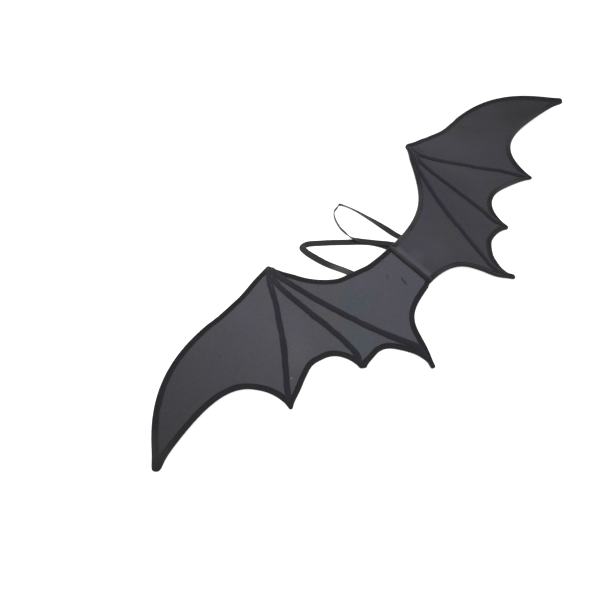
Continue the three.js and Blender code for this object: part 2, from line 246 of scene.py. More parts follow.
# Strap routes as shares of their reach: across, up, turn, sewn, lift. turn is 0 where the band lies flat, 1
# where it stands on edge and more where it leans over. sewn is 1 where it rises to the underside of the
# cloth, and lift is 1 where it lies on the other strap
STRAPS = {
    "strap_left": [
        (0.012, -0.14, 0, 1, 0),
        (0.01, 0.01, 0, 0.3, 0),
        (-0.094, 0.236, 0, 0, 0),
        (-0.375, 0.515, 0, 0, 0),
        (-0.605, 0.717, 0, 0, 0),
        (-0.785, 0.853, 0, 0, 0),
        (-0.864, 0.854, 0.25, 0, 0),
        (-0.878, 0.767, 0.42, 0, 0),
        (-0.853, 0.632, 0.32, 0, 0),
        (-0.79, 0.43, 0.1, 0, 0),
        (-0.667, 0.155, 0, 0, 0),
        (-0.58, -0.09, 0, 0.5, 0),
        (-0.47, -0.32, 0, 0.9, 0),
        (-0.27, -0.46, 0, 1, 0),
    ],
    "strap_right": [
        (0.132, -0.14, 0, 0.85, 1),
        (0.065, 0.011, 0, 0.65, 1),
        (-0.079, 0.222, 0, 0, 1),
        (-0.19, 0.36, 0.1, 0, 1),
        (-0.256, 0.475, 0.5, 0, 0.6),
        (-0.264, 0.59, 0.85, 0, 0.1),
        (-0.255, 0.72, 0.9, 0, 0),
        (-0.195, 0.88, 0.95, 0, 0),
        (-0.13, 0.958, 1, 0, 0),
        (-0.03, 0.985, 1.1, 0, 0),
        (0.015, 0.998, 1.15, 0, 0),
        (0.065, 0.915, 1.3, 0, 0),
        (0.11, 0.77, 1.23, 0, 0),
        (0.155, 0.54, 1.02, 0, 0),
        (0.2, 0.27, 0.62, 0, 0),
        (0.228, 0.11, 0.2, 0.15, 0),
        (0.26, -0.1, 0, 0.7, 0),
        (0.27, -0.48, 0, 1, 0),
    ],
}
# How much wider the bands show than the solid ones
STRAP_FULLNESS = {"strap_left": 1.24, "strap_right": 1.05}
STRAP_SIDES = 24

# Blunt ends of the points: how far the edge before and after each is pushed out, over what reach, and how
# far back the sharp end is cut
BLUNT_ENDS = {
    "left": [
        {"corner": LEFT_SHOULDER, "before": 0.0, "after": 0.0, "reach": 8, "cut": 0.8},
        {"corner": TIP, "before": 1.8, "after": 3.4, "reach": 18, "cut": 0.8},
        {"corner": OUTER_POINT, "before": 0.9, "after": 0.9, "reach": 9, "cut": 0.6},
        {"corner": MIDDLE_POINT, "before": 2.0, "after": 2.2, "reach": 11, "cut": 3.0},
        {"corner": INNER_POINT, "before": 1.9, "after": 2.2, "reach": 13, "cut": 3.2},
    ],
    "right": [
        {"corner": SHOULDER, "before": 0.8, "after": 0.8, "reach": 8, "cut": 3.2},
        {"corner": TIP, "before": 1.8, "after": 3.4, "reach": 18, "cut": 2.8},
        {"corner": RIGHT_OUTER_POINT, "before": 0.8, "after": 0.8, "reach": 9, "cut": 0.3},
        {"corner": RIGHT_MIDDLE_POINT, "before": 1.4, "after": 1.4, "reach": 10, "cut": 0.4},
        {"corner": RIGHT_INNER_POINT, "before": 2.4, "after": 2.6, "reach": 13, "cut": 1.4},
    ],
}
# A cut sets in over a rounding, and takes away this share of what stands past it. The stations on both sides
# of a point give the way it heads
CUT_ROUNDING = 0.8
CUT_SHARE = 0.8
HEADING_STATIONS = 12

# Folded edge tape in section: inset and height as shares of its width and half its height, from the mouth
# of the fold over its stitched lip and its roll to the outer edge. The underside mirrors it
TAPE_SECTION = [
    (0.47, 0.34),
    (0.985, 0.34),
    (1.0, 0.42),
    (0.985, 0.6),
    (0.94, 0.7),
    (0.87, 0.73),
    (0.8, 0.67),
    (0.745, 0.58),
    (0.7, 0.555),
    (0.655, 0.6),
    (0.58, 0.76),
    (0.49, 0.9),
    (0.38, 0.98),
    (0.27, 1.0),
    (0.17, 0.95),
    (0.09, 0.8),
    (0.035, 0.55),
    (0.008, 0.28),
    (0, 0),
]
STITCH_INSET = 0.7
STITCH_HEIGHT = 0.6

# The seam is pulled to the left, with the cloth beside it, and the fold of its tape leans over that way. At
# its ends the tape rises over the edge tape, and its slots are a little wider than the cloth
SEAM_SLACK = 0.05
SEAM_SHIFT = 2.2
SEAM_SHIFT_REACH = 34
SEAM_LEAN = 2.1
SEAM_SQUEEZE = 0.96
SEAM_OVER = 1.5

# Threads and lint on the left wing, and pale flecks by the left shoulder that are painted glints: from, to,
# radius and height over the cloth. Each is a rounded body that thins out towards its ends
DARK_THREADS = [
    ((-26.8, -40.2), (-29.8, -56.6), 1.3, 0.1),
    ((-36.6, -24.8), (-44.0, -32.6), 0.5, 0.1),
    ((-27.6, -8.6), (-27.9, -10.2), 0.5, 0.3),
    ((-274.4, 43.2), (-275.6, 41.8), 0.5, 0.3),
]
LINT_AND_GLINTS = [
    ((-225.9, -37.4), (-228.3, -41.0), 0.8, 0.5),
    # painted highlight: these five pale flecks by the left shoulder stand for glints
    ((-149.2, 95.6), (-150.4, 94.4), 0.35, 3.4),
    ((-145.1, 91.7), (-146.2, 90.6), 0.35, 3.4),
    ((-153.5, 83.1), (-154.1, 82.0), 0.35, 2.6),
    ((-162.0, 73.6), (-162.5, 71.8), 0.4, 2.1),
    ((-157.7, 70.2), (-158.1, 69.3), 0.35, 0.4),
]
THREAD_SHARES = (-1, -0.7, 0, 0.7, 1)
THREAD_SIDES = 6

# Stray fibres of each wing's edge tape
FIBRES = 1700
FIBRE_RADIUS = 0.06
FIBRE_LENGTHS = (0.9, 1.7)

# Naps: patches of tint in a metre, depth of the fuzz in metres, and strength of the sheen
CLOTH_NAP = {"patches": 11, "fuzz": 0.00025, "sheen": 0.3}
EDGE_NAP = {"patches": 26, "fuzz": 0.0003, "sheen": 0.25}
RIB_NAP = {"patches": 22, "fuzz": 0.0003, "sheen": 0.25}

# Felts: the main colour and three tints, as they show on the screen
FELTS = {
    "cloth_left": {
        "base": (84, 83, 90),
        "tints": [(85, 82, 92), (83, 83, 91), (87, 87, 88)],
        "nap": CLOTH_NAP,
    },
    # painted shade: cloth_right is the same cloth as cloth_left, its colours painted darker and purpler for
    # the shade the right wing lies in
    "cloth_right": {
        "base": (67, 65, 74),
        "tints": [(69, 66, 79), (65, 64, 74), (67, 67, 70)],
        "nap": CLOTH_NAP,
    },
    "tape_left": {
        "base": (38, 38, 42),
        "tints": [(37, 37, 42), (39, 39, 40), (42, 41, 46)],
        "nap": EDGE_NAP,
    },
    "tape_right": {
        "base": (39, 38, 43),
        "tints": [(38, 37, 44), (40, 40, 41), (42, 41, 46)],
        "nap": EDGE_NAP,
    },
    "rib_tape": {
        "base": (42, 40, 50),
        "tints": [(43, 41, 53), (41, 41, 46), (46, 44, 55)],
        "nap": RIB_NAP,
    },
    "seam_tape": {
        "base": (56, 56, 58),
        "tints": [(57, 58, 60), (54, 54, 56), (58, 58, 62)],
        "nap": RIB_NAP,
    },
}
BLACK = (0, 0, 0, 1)

# Tones from place to place, some of them painted highlight and shade where marked. A spot falls off around a
# place over its reach, and a band sets in along an axis from one place to another. Places are in millimetres
# from the seam top, colours as on the screen
SPOTS = {
    "cloth_left": [
        {"at": (-93, -24), "reach": 34, "colour": (78, 85, 93), "share": 0.9},
        {"at": (-134, -63), "reach": 34, "colour": (79, 87, 94), "share": 0.9},
        {"at": (-184, 10), "reach": 36, "colour": (88, 85, 95), "share": 0.8},
        {"at": (-68, -10), "reach": 26, "colour": (86, 83, 95), "share": 0.8},
        {"at": (-30, -58), "reach": 34, "colour": (83, 83, 94), "share": 0.8},
        {"at": (-87, -85), "reach": 28, "colour": (84, 85, 96), "share": 0.7},
        {"at": (-196, -18), "reach": 30, "colour": (91, 90, 97), "share": 0.8},
    ],
    "cloth_right": [
        # painted highlight: lighter beside the seam, where the cloth lifts from it
        {"at": (12, -36), "reach": 17, "colour": (79, 76, 88), "share": 0.8},
        {"at": (37, -11), "reach": 20, "colour": (68, 70, 71), "share": 0.7},
        # painted highlight: lighter beside the seam, where the cloth lifts from it
        {"at": (38, -48), "reach": 34, "colour": (74, 71, 84), "share": 0.6},
        # painted shade where the ribs meet below the right shoulder
        {"at": (150, 81), "reach": 18, "colour": (48, 46, 54), "share": 0.7},
        # painted shade: these three darken the cloth over the outer part of the wing, towards the tip
        {"at": (350, 20), "reach": 120, "colour": (65, 64, 70), "share": 1},
        {"at": (356, 22), "reach": 64, "colour": (54, 53, 56), "share": 0.9},
        {"at": (256, 74), "reach": 56, "colour": (61, 60, 65), "share": 0.9},
    ],
    "tape_left": [
        {"at": (-150, 105), "reach": 15, "colour": (74, 75, 73), "share": 0.8},
        {"at": (-388, 5), "reach": 26, "colour": (58, 58, 56), "share": 0.6},
    ],
    "tape_right": [
        {"at": (24, -4), "reach": 26, "colour": (70, 72, 73), "share": 0.9},
        {"at": (66, 10), "reach": 32, "colour": (62, 64, 64), "share": 0.9},
        {"at": (97, 29), "reach": 28, "colour": (60, 62, 62), "share": 0.8},
        {"at": (318, -9), "reach": 76, "colour": (68, 67, 70), "share": 1},
        {"at": (213, -60), "reach": 36, "colour": (68, 68, 71), "share": 0.9},
        {"at": (24, -72), "reach": 24, "colour": (60, 57, 68), "share": 0.7},
    ],
    "rib_tape": [
        {"at": (-149, 79), "reach": 34, "colour": (63, 62, 67), "share": 0.35},
    ],
    "strap_elastic": [
        {"at": (-74, 25), "reach": 24, "colour": (92, 97, 93), "share": 0.9},
        {"at": (-8, 12), "reach": 34, "colour": (42, 43, 50), "share": 0.7},
    ],
}
BANDS = {
    "cloth_left": [
        # painted shade: the cloth darkens towards the left tip
        {"axis": "X", "from": -215, "to": -395, "colour": (60, 59, 62)},
    ],
    "cloth_right": [
        # painted highlight: lighter beside the seam, where the cloth lifts from it
        {"axis": "X", "from": 9, "to": 4, "colour": (85, 84, 93)},
    ],
    "seam_tape": [
        {"axis": "Y", "from": -34, "to": -48, "colour": (43, 39, 51)},
        # painted shade on the left side of the tape's roll, which leans over that way
        {"axis": "X", "from": -4.9, "to": -6.2, "colour": (34, 34, 39)},
    ],
}


def place(share):
    return np.array([share[0] * HALF_SPAN, share[1] * HEIGHT])


# The frame's origin is in the middle of the box, and the seam's top lies this far up from it
SEAM_TOP_UP = -0.5 * (place(SHOULDER)[1] + place(INNER_POINT)[1])
NOISE_CELLS = 64


def smoothstep(value, low, high):
    t = np.clip((value - low) / (high - low), 0, 1)
    return t * t * (3 - 2 * t)


def patchy(seed, x, y, size):
    """Smooth noise from -1 to 1 whose patches are about size wide."""
    grid = np.random.default_rng(seed).uniform(-1, 1, (NOISE_CELLS, NOISE_CELLS))
    gx, gy = np.asarray(x) / size, np.asarray(y) / size
    ix, iy = np.floor(gx).astype(int), np.floor(gy).astype(int)
    fx, fy = smoothstep(gx - ix, 0, 1), smoothstep(gy - iy, 0, 1)
    corner = lambda a, b: grid[(ix + a) % NOISE_CELLS, (iy + b) % NOISE_CELLS]
    low = corner(0, 0) * (1 - fx) + corner(1, 0) * fx
    high = corner(0, 1) * (1 - fx) + corner(1, 1) * fx
    return low * (1 - fy) + high * fy


def waver(kind, seed, s):
    """Smooth noise along a line, of one of the kinds of wavers."""
    return WAVERS[kind]["by"] * patchy(seed, s, 0 * s, WAVERS[kind]["over"])


def relief(x, y):
    """Height of the tape's underside over the floor, which every cloth piece follows."""
    tent = SEAM_LIFT * (1 - smoothstep(np.abs(x), 0, TENT_REACH))
    outward = np.maximum(0, (np.abs(x) - CURL_START) / (HALF_SPAN - CURL_START))
    curl = np.where(x < 0, TIP_LIFT[-1], TIP_LIFT[1]) * outward ** 2
    shoulder = place(SHOULDER)
    away = np.hypot(x - shoulder[0], y - shoulder[1]) / SHOULDER_REACH
    raised = RIGHT_SHOULDER_LIFT * np.maximum(0, 1 - away ** 2) ** 2
    waves = WAVE_HEIGHT * (1 + patchy(SEEDS["relief"], x, y, WAVE_SIZE))
    return tent + curl + raised + waves


def bezier(places, along):
    t = np.asarray(along, float)[:, None]
    level = [np.asarray(p, float)[None, :] for p in places]
    while len(level) > 1:
        level = [a + (b - a) * t for a, b in zip(level, level[1:])]
    return level[0]


def run_lengths(points):
    return np.concatenate([[0], np.cumsum(np.linalg.norm(np.diff(points, axis=0), axis=1))])


def sampled(points, runs, where):
    """Rows of a line at places along it. runs says how far along each of its own rows is."""
    return np.stack([np.interp(where, runs, column) for column in points.T], 1)


def even(points, step):
    """The same line with its points a step apart."""
    runs = run_lengths(points)
    count = max(2, round(runs[-1] / step))
    return sampled(points, runs, np.linspace(0, runs[-1], count + 1))


def unit(vectors):
    return vectors / np.linalg.norm(vectors, axis=-1, keepdims=True)


def tangents(points):
    return unit(np.gradient(points, axis=0))


def inward_normals(points):
    """The edge is walked with the wing's cloth on the right-hand side."""
    t = tangents(points)
    return np.stack([t[:, 1], -t[:, 0]], 1)


def softened(values, spread):
    """Each value becomes the mean of its neighbours within about spread places. The ends stay."""
    reach = int(3 * spread)
    weights = np.exp(-0.5 * (np.arange(-reach, reach + 1) / spread) ** 2)
    weights /= weights.sum()
    padded = np.pad(values, [(reach, reach)] + [(0, 0)] * (values.ndim - 1), mode="edge")
    padded[:reach] = 2 * values[0] - padded[2 * reach:reach:-1]
    padded[-reach:] = 2 * values[-1] - padded[-reach - 2:-2 * reach - 2:-1]
    columns = padded.reshape(len(padded), -1)
    done = [np.convolve(column, weights, mode="valid") for column in columns.T]
    return np.stack(done, 1).reshape(values.shape)


# Edge of one wing

def mitre_between(before, after):
    """The inward line that halves the corner between two runs, and how deep the tape's inner edges meet."""
    stretch = int(3 * BINDING_WIDTH / STATION_STEP)
    corner = after[0]
    arriving = unit(corner - before[-1 - stretch])
    leaving = unit(after[stretch] - corner)
    turn = lambda v: np.array([v[1], -v[0]])
    inward = unit(turn(arriving) + turn(leaving))
    return corner, inward, BINDING_WIDTH / (inward @ turn(leaving))


def keep_beside(inner, outer, mitre):
    """Near a corner the inner points gather at the mitre's inner end, each just on its own side."""
    corner, inward, depth = mitre
    aside = np.array([-inward[1], inward[0]])
    distance = np.linalg.norm(outer - corner, axis=1)
    hand = np.where((outer - corner) @ aside < 0, -1.0, 1.0)
    wanted = 0.02 * distance
    beside = (distance > 1e-6) & (((inner - corner) @ aside) * hand > wanted)
    gather = (distance <= 1.5 * depth) & ~beside
    meeting = corner + inward * depth + aside * (hand * wanted)[:, None]
    inner[gather] = meeting[gather]


def blunted(outer, hand):
    """The outer line with its points pushed out on both sides and rounded off."""
    normals, runs = inward_normals(outer), run_lengths(outer)
    for end in BLUNT_ENDS[hand]:
        corner = np.linalg.norm(outer - place(end["corner"]), axis=1).argmin()
        away = runs - runs[corner]
        near = 4 * np.abs(away) / end["reach"]
        push = np.where(away < 0, end["before"], end["after"]) * near * np.exp(1 - near)
        outer = outer - normals * push[:, None]
        before, after = outer[corner - HEADING_STATIONS], outer[corner + HEADING_STATIONS]
        ahead = unit(2 * outer[corner] - before - after)
        depth = (outer - outer[corner]) @ ahead + end["cut"]
        beyond = CUT_SHARE * CUT_ROUNDING * np.log1p(np.exp(depth / CUT_ROUNDING))
        beyond = np.where(np.abs(away) < 2 * end["reach"], beyond, 0)
        outer = outer - ahead * beyond[:, None]
    return outer


def edge_run(hand, name):
    """One run of the edge with its swells, which die out towards the run's ends."""
    places = [place(p) for p in EDGE_RUNS[hand][name]]
    line = even(bezier(places, np.linspace(0, 1, 800)), STATION_STEP)
    share = np.linspace(0, 1, len(line))
    out = np.zeros(len(line))
    for swell in EDGE_SWELLS[hand][name]:
        away = (share - swell["at"]) / swell["reach"]
        out += swell["out"] * np.maximum(0, 1 - away ** 2) ** 2
    out *= smoothstep(np.minimum(share, 1 - share), 0, SWELL_END)
    return even(line - inward_normals(line) * out[:, None], STATION_STEP)


def edge_stations(hand):
    """Outer and inner points of the edge tape, one binding width apart, all the way round one wing."""
    runs = [edge_run(hand, name) for name in EDGE_RUNS[hand]]
    outers, inners = [], []
    for index, outer in enumerate(runs):
        inner = outer + inward_normals(outer) * BINDING_WIDTH
        if index > 0:
            keep_beside(inner, outer, mitre_between(runs[index - 1], outer))
        if index + 1 < len(runs):
            keep_beside(inner, outer, mitre_between(outer, runs[index + 1]))
        first = 0 if index == 0 else 1
        outers.append(outer[first:])
        inners.append(inner[first:])
    outer, inner = np.concatenate(outers), np.concatenate(inners)
    inner[0] = outer[0] - [0, BINDING_WIDTH]
    inner[-1] = outer[-1] + [0, BINDING_WIDTH]
    return softened(blunted(outer, hand), 1.3), inner


EDGES = {SIDES[hand]: edge_stations(hand) for hand in SIDES}
EDGE_ALONG = {side: run_lengths(outer) for side, (outer, inner) in EDGES.items()}


def edge_points(side, inset):
    """Points of a wing's edge at an inset in millimetres, one a station."""
    outer, inner = EDGES[side]
    return outer + (inner - outer) * (np.asarray(inset) / BINDING_WIDTH)


def lifted(points, side, height):
    """Points of one wing as places in space, at a height over the relief. Near the seam they shift left."""
    x, y = side * points[:, 0], points[:, 1]
    pulled = x - SEAM_SHIFT * (1 - smoothstep(np.abs(x), 0, SEAM_SHIFT_REACH))
    return np.stack([pulled, y, relief(x, y) + height], 1)


# Meshes

def swept(rings):
    """Faces that join equal rings of points into one closed body."""
    count, size = rings.shape[0], rings.shape[1]
    ring, i = np.meshgrid(np.arange(count - 1), np.arange(size), indexing="ij")
    here, there = ring * size + i, ring * size + (i + 1) % size
    faces = np.stack([here, there, there + size, here + size], -1).reshape(-1, 4).tolist()
    faces.append(list(range(size))[::-1])
    faces.append([(count - 1) * size + k for k in range(size)])
    return rings.reshape(-1, 3), faces


def outward(points, faces):
    """The faces, turned round where the body is inside out."""
    volume = 0.0
    for face in faces:
        a = points[face[0]]
        for b, c in zip(face[1:], face[2:]):
            volume += np.dot(a, np.cross(points[b], points[c]))
    return faces if volume > 0 else [face[::-1] for face in faces]


def add_object(name, data):
    made = bpy.data.objects.new(name, data)
    bpy.context.scene.collection.objects.link(made)
    return made


def make_piece(name, points, faces, material, uv=None):
    mesh = bpy.data.meshes.new(name)
    shifted = (np.asarray(points) + [0, SEAM_TOP_UP, 0]) * MM
    mesh.from_pydata(shifted.tolist(), [], [list(f) for f in faces])
    if uv is not None:
        layer = mesh.uv_layers.new(name="weave")
        corners = np.empty(len(mesh.loops), np.int32)
        mesh.loops.foreach_get("vertex_index", corners)
        layer.data.foreach_set("uv", (np.asarray(uv, np.float32)[corners] * MM).ravel())
    mesh.shade_smooth()
    mesh.validate()
    mesh.materials.append(material)
    return add_object(name, mesh)


def sweep_piece(name, rings, material):
    """One closed body from rings of points, with its weave running along it."""
    points, faces = swept(rings)
    around = np.array([run_lengths(ring) for ring in rings])
    centres = rings.mean(axis=1)
    along = np.repeat(run_lengths(centres)[:, None], rings.shape[1], axis=1)
    uv = np.stack([around, along], -1).reshape(-1, 2)
    return make_piece(name, points, outward(points, faces), material, uv)


# Edge tape

def binding_rings(side, seed):
    """Rings of the folded tape. Its roll swells and its lip wanders a little along the way."""
    mid = BINDING_HEIGHT / 2
    s = EDGE_ALONG[side]
    swell = 1 - WAVERS["binding_swell"]["by"] - waver("binding_swell", seed, s)
    wander = waver("binding_wander", seed + 1, s)
    pull = 0.05 * np.cos(2 * np.pi * s / STITCH_PITCH)
    columns = []
    top = [(u, h, 1) for u, h in TAPE_SECTION]
    under = [(u, h, -1) for u, h in TAPE_SECTION[-2::-1]]
    for u, h, way in top + under:
        inset = u * BINDING_WIDTH + wander * smoothstep(u, 0.5, 0.95)
        plump = h * np.where(h > 0.5, swell, 1)
        plump = plump + pull * math.exp(-((u - STITCH_INSET) / 0.08) ** 2) * (h > 0.5)
        flat = edge_points(side, inset[:, None])
        columns.append(lifted(flat, side, mid + way * plump * mid))
    return np.stack(columns, 1)


# Cloth of the wings

def inside(points, loop):
    """Which points lie inside a closed loop."""
    x, y = points[:, 0][:, None], points[:, 1][:, None]
    x1, y1 = loop[:, 0][None, :], loop[:, 1][None, :]
    x2, y2 = np.roll(loop[:, 0], -1)[None, :], np.roll(loop[:, 1], -1)[None, :]
    crosses = ((y1 > y) != (y2 > y)) & (x < (x2 - x1) * (y - y1) / (y2 - y1 + 1e-12) + x1)
    return crosses.sum(axis=1) % 2 == 1


def nearest(points, line):
    """Distance from each point to the nearest point of a line, and which one that is."""
    best, which = np.full(len(points), np.inf), np.zeros(len(points), int)
    for start in range(0, len(points), 2000):
        block = points[start:start + 2000]
        d = np.hypot(block[:, None, 0] - line[None, :, 0], block[:, None, 1] - line[None, :, 1])
        which[start:start + 2000] = d.argmin(axis=1)
        best[start:start + 2000] = d.min(axis=1)
    return best, which


def cloth_loop(side):
    edge = edge_points(side, CLOTH_INSET)[::3]
    seam_side = SEAM_FOLD / 2 + CLEARANCE
    rows = np.arange(CLOTH_INSET - SEAM_LENGTH, -CLOTH_INSET, CLOTH_STEP)
    seam = np.stack([np.full(len(rows), seam_side), rows], 1)
    return np.concatenate([edge, seam])


def cloth_lattice(loop):
    """Points of a three-way lattice inside the loop, clear of its line."""
    low, high = loop.min(axis=0), loop.max(axis=0)
    row_step = CLOTH_STEP * math.sqrt(3) / 2
    rows = np.arange(low[1], high[1], row_step)
    points = []
    for index, y in enumerate(rows):
        x = np.arange(low[0] + (index % 2) * CLOTH_STEP / 2, high[0], CLOTH_STEP)
        points.append(np.stack([x, np.full(len(x), y)], 1))
    points = np.concatenate(points)
    points = points[inside(points, loop)]
    return points[nearest(points, loop)[0] > 0.6 * CLOTH_STEP]


def flat_cloth(side):
    loop = cloth_loop(side)
    points = np.concatenate([loop, cloth_lattice(loop)])
    vectors = [Vector(p) for p in points.tolist()]
    done = delaunay_2d_cdt(vectors, [], [list(range(len(loop)))], 1, 1e-6)
    return np.array([list(v) for v in done[0]]), [list(face) for face in done[2]]


def cloth_rise(points, side, seed):
    """How far the cloth billows off its seams: soft swellings, waves and small puckers beside the tape."""
    tape, station = nearest(points, edge_points(side, BINDING_WIDTH))
    tape = np.where(nearest(points, edge_points(side, 0))[0] < BINDING_WIDTH + 0.5, 0, tape)
    ribs = np.concatenate([rib_line(name) for name in RIBS if name.endswith(hand_of(side))])
    rib = np.maximum(0, nearest(points, ribs)[0] - RIB_WIDTH / 2)
    seam = np.maximum(0, points[:, 0] - SEAM_BAND_WIDTH / 2)
    away = np.minimum(np.minimum(tape, rib), seam)
    x, y = points[:, 0], points[:, 1]
    billow = BILLOW_HEIGHT * (1 - np.exp(-(away / BILLOW_REACH) ** 2))
    waves = 0.5 * patchy(seed, x, y, 30) + 0.25 * patchy(seed + 1, x, y, 14)
    ripple = np.sin(2 * np.pi * EDGE_ALONG[side][station] / PUCKER_PITCH + 3 * patchy(seed + 2, x, y, 20))
    pucker = PUCKER_HEIGHT * (tape / PUCKER_REACH) * np.exp(1 - tape / PUCKER_REACH) * ripple
    return billow + waves * smoothstep(away, 0, 9) + pucker * smoothstep(away, 0, 2)


def hand_of(side):
    return "left" if side < 0 else "right"


def wing_cloth(name, side, seed, material):
    flat, faces = flat_cloth(side)
    rise = cloth_rise(flat, side, seed)
    bottom = lifted(flat, side, CLOTH_BOTTOM + rise)
    top = lifted(flat, side, CLOTH_TOP + rise)
    count = len(flat)
    solid = [face[::-1] for face in faces] + [[k + count for k in face] for face in faces]
    sides = {(a, b) for face in faces for a, b in zip(face, face[1:] + face[:1])}
    solid += [[a, b, b + count, a + count] for a, b in sides if (b, a) not in sides]
    points = np.concatenate([bottom, top])
    piece = make_piece(name, points, outward(points, solid), material)
    a, b, c = [flat[[face[k] for face in faces]] for k in range(3)]
    u, v = b - a, c - a
    area = 0.5 * np.abs(u[:, 0] * v[:, 1] - u[:, 1] * v[:, 0]).sum()
    size = (flat.max(axis=0) - flat.min(axis=0)) * MM
    return piece, tuple(float(w) for w in size), float(area) * MM ** 2


# Ribs

def rib_line(name):
    rib = RIBS[name]
    root = place(rib["root"])
    curve = bezier([place(p) for p in rib["curve"]], np.linspace(0, 1, 300))
    start = bezier([root, curve[0]], np.linspace(0, 0.98, 60))
    finish = bezier([curve[-1], place(rib["end"])], np.linspace(0.02, 1, 60))
    return softened(even(np.concatenate([start, curve, finish]), STATION_STEP), 5)


def rib_rings(name, side, seed):
    """A low padded tape, whose edges and height wander a little."""
    line = rib_line(name)
    s = run_lengths(line)
    share = s / s[-1]
    half = RIB_FULLNESS[hand_of(side)] * RIB_WIDTH / 2 * np.interp(share, *zip(*RIB_TAPER))
    normal = inward_normals(line)
    line = line + normal * waver("rib_wander", seed, s)[:, None]
    widths = {way: half * (1 + waver("rib_edge", seed + 2 + way, s)) for way in (-1, 1)}
    height = RIB_HEIGHT * (1 + waver("rib_height", seed + 5, s))
    over = RIBS[name]["over"] * (1 - smoothstep(s, *RIB_DOWN))
    ends = smoothstep(np.minimum(s, s[-1] - s), -3, 5)
    columns = []
    for angle in np.linspace(0, math.pi, 15):
        across, up = math.cos(angle), math.sin(angle) ** 0.62
        reach = across * np.where(across < 0, widths[-1], widths[1])
        crease = 0.12 * math.exp(-((abs(across) - 0.72) / 0.12) ** 2)
        top = height * ends * (up - crease)
        columns.append(lifted(line + normal * reach[:, None], side, CLOTH_TOP + over + top))
    for across in (-0.9, 0.9):
        reach = across * np.where(across < 0, widths[-1], widths[1])
        columns.append(lifted(line + normal * reach[:, None], side, CLOTH_TOP + over - 0.25))
    return np.stack(columns, 1)


# Seam band

def seam_section(low, high):
    """Right half of the seam tape in section, from its underside to the middle of its top."""
    half, fold = SEAM_BAND_WIDTH / 2, SEAM_FOLD / 2
    return [
        (0.9 * half, 0),
        (half, 0.4 * low),
        (0.98 * half, 0.85 * low),
        (0.9 * half, low),
        (fold, low),
        (fold, high),
        (0.93 * half, high),
        (half, high + 0.3),
        (0.95 * half, high + 0.85),
        (0.8 * half, high + 1.25),
        (0.62 * half, high + 1.3),
        (0.5 * half, high + 1.15),
        (0.36 * half, high + 1.5),
        (0.18 * half, high + 1.8),
        (0, high + 1.9),
    ]


def seam_rings():
    """Tape folded through the seam: a leaning roll over the top, and a slot on each side for the cloth."""
    high = CLOTH_TOP + SEAM_SLACK
    right = seam_section(CLOTH_BOTTOM - SEAM_SLACK, high)
    left = [(-x, z) for x, z in right[-2::-1]]
    s = np.arange(0, SEAM_LENGTH + 0.5, STATION_STEP)
    wander = waver("seam_wander", SEEDS["seam"], s)
    swell = 1 + waver("seam_swell", SEEDS["seam"] + 1, s)
    over = SEAM_OVER * (1 - smoothstep(np.minimum(s, SEAM_LENGTH - s), BINDING_WIDTH, BINDING_WIDTH + 4))
    columns = []
    for x, z in right + left:
        above = z > high or (z == high and abs(x) > SEAM_FOLD / 2)
        across = x * SEAM_SQUEEZE - SEAM_LEAN + wander if above else x + 0 * s
        height = high + (z - high) * swell + over if above else z + 0 * s
        columns.append(np.stack([across - SEAM_SHIFT, -s, relief(0 * s, -s) + height], 1))
    return np.stack(columns, 1)


# Straps

def catmull(p0, p1, p2, p3, d0, d1, d2, t):
    """One stretch of a curve through four points, with knots d0, d1 and d2 apart."""
    m1 = ((p1 - p0) / d0 - (p2 - p0) / (d0 + d1) + (p2 - p1) / d1) * d1
    m2 = ((p2 - p1) / d1 - (p3 - p1) / (d1 + d2) + (p3 - p2) / d2) * d1
    c2 = 3 * (p2 - p1) - 2 * m1 - m2
    c3 = 2 * (p1 - p2) + m1 + m2
    return p1 + m1 * t + c2 * t * t + c3 * t ** 3


def strap_line(route):
    """The strap's centreline in plan, with its turn, how far it is sewn and its lift, a step apart."""
    table = np.array(route, float)
    plan = table[:, :2] * STRAP_REACH
    plan = np.concatenate([[2 * plan[0] - plan[1]], plan, [2 * plan[-1] - plan[-2]]])
    knots = np.sqrt(np.linalg.norm(np.diff(plan, axis=0), axis=1))
    states = np.concatenate([table[:1, 2:], table[:, 2:], table[-1:, 2:]])
    rows = []
    for i in range(len(route) - 1):
        for t in np.linspace(0, 1, 40, endpoint=i == len(route) - 2):
            point = catmull(*plan[i:i + 4], *knots[i:i + 3], t)
            state = catmull(*states[i:i + 4], 1, 1, 1, t)
            rows.append(np.concatenate([point, state]))
    rows = np.array(rows)
    runs = run_lengths(rows[:, :2])
    where = np.linspace(0, runs[-1], round(runs[-1] / STRAP_STEP) + 1)
    return sampled(rows, runs, where)


def strap_rings(name):
    line = strap_line(STRAPS[name])
    plan = line[:, :2]
    turn = np.maximum(line[:, 2], 0)[:, None] * math.pi / 2
    sewn = np.clip(line[:, 3], 0, 1)
    along = np.concatenate([tangents(plan), np.zeros((len(plan), 1))], 1)
    level = np.stack([-along[:, 1], along[:, 0], 0 * along[:, 0]], 1)
    wide = level * np.cos(turn) + np.array([0, 0, 1]) * np.sin(turn)
    thick = np.cross(along, wide)
    half_width, half_thickness = STRAP_FULLNESS[name] * STRAP_WIDTH / 2, STRAP_THICKNESS / 2
    lying = (half_width * np.sin(turn) + half_thickness * np.abs(np.cos(turn)))[:, 0]
    lying += (STRAP_THICKNESS + CLEARANCE) * np.clip(line[:, 4], 0, 1)
    under_cloth = relief(plan[:, 0], plan[:, 1]) - CLEARANCE - half_thickness
    height = lying + (np.maximum(lying, under_cloth) - lying) * sewn
    centre = np.concatenate([plan, height[:, None]], 1)
    columns = []
    for angle in np.linspace(0, 2 * math.pi, STRAP_SIDES, endpoint=False):
        a = math.copysign(abs(math.cos(angle)) ** 0.35, math.cos(angle))
        b = math.copysign(abs(math.sin(angle)) ** 0.6, math.sin(angle))
        columns.append(centre + wide * a * half_width + thick * b * half_thickness)
    return np.stack(columns, 1)


# Stitches, threads and fibres

